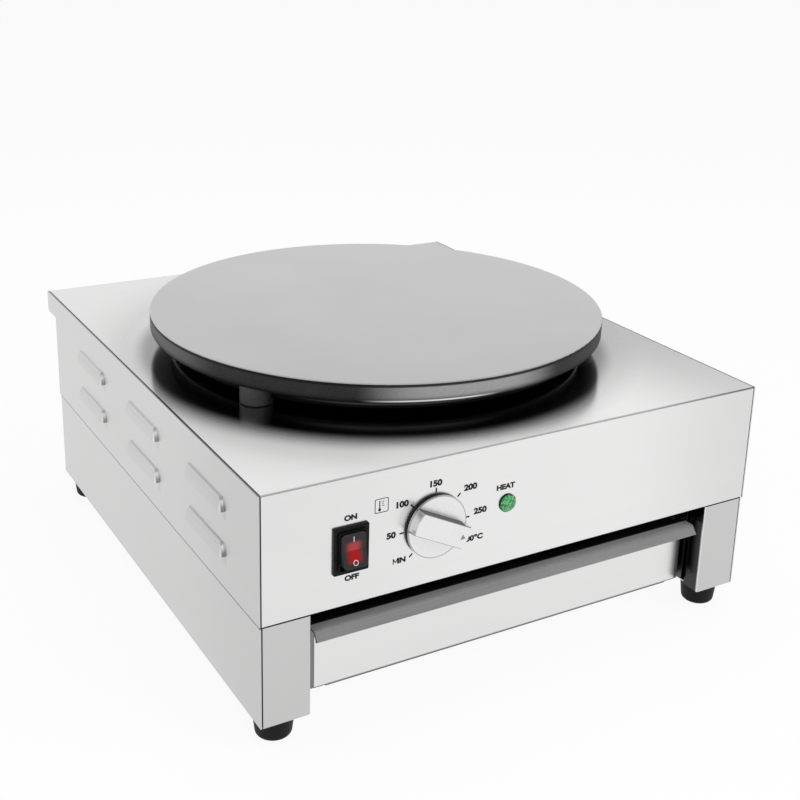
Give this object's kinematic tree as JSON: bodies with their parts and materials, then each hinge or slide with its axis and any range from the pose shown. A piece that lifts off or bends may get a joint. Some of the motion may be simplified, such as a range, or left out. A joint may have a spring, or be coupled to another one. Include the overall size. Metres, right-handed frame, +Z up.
{
  "type": "electric crepe maker",
  "caption": "Round cast griddle on three legs over a square folded steel housing, with a front control panel and a pull-out drawer below it.",
  "frame": {"origin": "middle of the whole machine, front to back and side to side, on the surface that it stands on", "axes": "+X to the right as seen by the user in front, +Y towards the back, +Z up; the control panel faces -Y"},
  "size_m": [0.458, 0.5206, 0.237],
  "materials": {
    "satin_steel": "satin brushed stainless sheet",
    "plain_steel": "plain mill finish sheet",
    "lip_steel": "brushed stainless sheet",
    "cast": "fine cast surface, top machined and seasoned",
    "zinc": "zinc plated",
    "element_steel": "heat darkened tube",
    "fibre": "ceramic fibre",
    "rubber_black": "matt",
    "black_plastic": "semi gloss",
    "silver_plastic": "satin silver finish",
    "red_lens": "clear red",
    "green_lens": "clear green",
    "grey_plastic": "fine grain",
    "white_ceramic": "unglazed ceramic and moulding",
    "copper": "bare tube",
    "brass": "plated brass",
    "red_button": "matt"
  },
  "bodies": {
    "housing": {"top_cover": "satin_steel", "left_side_panel": "satin_steel", "right_side_panel": "satin_steel", "left_corner_frame": "plain_steel", "right_corner_frame": "plain_steel", "rear_panel": "satin_steel", "compartment_floor": "plain_steel", "left_base_panel": "satin_steel", "right_base_panel": "satin_steel", "left_pillar": "satin_steel", "right_pillar": "satin_steel", "base_rear_panel": "satin_steel", "bottom_panel": "plain_steel", "left_runner": "plain_steel", "right_runner": "plain_steel", "drawer_stops": "plain_steel", "drawer_bumpers": "rubber_black", "rubber_feet": "rubber_black", "foot_bolts": "zinc", "foot_nuts": "zinc", "griddle_plate": "cast", "plate_legs": "cast", "plate_studs": "zinc", "plate_nuts": "zinc", "outer_heating_element": "element_steel", "inner_heating_element": "element_steel", "element_clamp": "plain_steel", "clamp_stud": "zinc", "clamp_nut": "zinc", "heat_shield_pan": "plain_steel", "insulation_pad": "fibre", "wiring_bush": "rubber_black", "thermostat_bulb": "copper", "bulb_saddle": "zinc", "capillary": "copper", "switch_housing": "black_plastic", "rocker_pin": "zinc", "switch_terminals": "brass", "thermostat_bracket": "zinc", "thermostat_screws": "zinc", "thermostat_body": "white_ceramic", "lamp_body": "black_plastic", "lamp_lens": "green_lens", "lamp_nut": "zinc", "cable_gland": "grey_plastic", "gland_dome": "grey_plastic", "gland_locknut": "grey_plastic", "terminal_block": "white_ceramic", "earth_stud": "brass", "overheat_cutout": "white_ceramic", "cutout_nut": "brass"},
    "drawer": {"drawer_pan": "satin_steel", "drawer_front": "satin_steel", "drawer_lip": "lip_steel"},
    "control_knob": {"thermostat_knob": "silver_plastic", "thermostat_spindle": "zinc"},
    "power_rocker": {"rocker_frame": "black_plastic", "rocker_lens": "red_lens"},
    "overheat_reset": {"reset_button": "red_button"}
  },
  "joints": [
    {"name": "drawer_slide", "type": "slide", "parent": "housing", "child": "drawer", "axis": [0, -1, 0], "range_m": [0, 0.3]},
    {"name": "knob_turn", "type": "hinge", "parent": "housing", "child": "control_knob", "pos_m": [-0.085, -0.252, 0.1495], "axis": [0, 1, 0], "range_deg": [-252, 18]},
    {"name": "rocker_tilt", "type": "hinge", "parent": "housing", "child": "power_rocker", "pos_m": [-0.1547, -0.2462, 0.1477], "axis": [1, 0, 0], "range_deg": [0, 22]},
    {"name": "reset_press", "type": "slide", "parent": "housing", "child": "overheat_reset", "axis": [0, -1, 0], "range_m": [0, 0.0015], "stiffness_N_per_m": 500, "springref_m": -0.001}
  ]
}
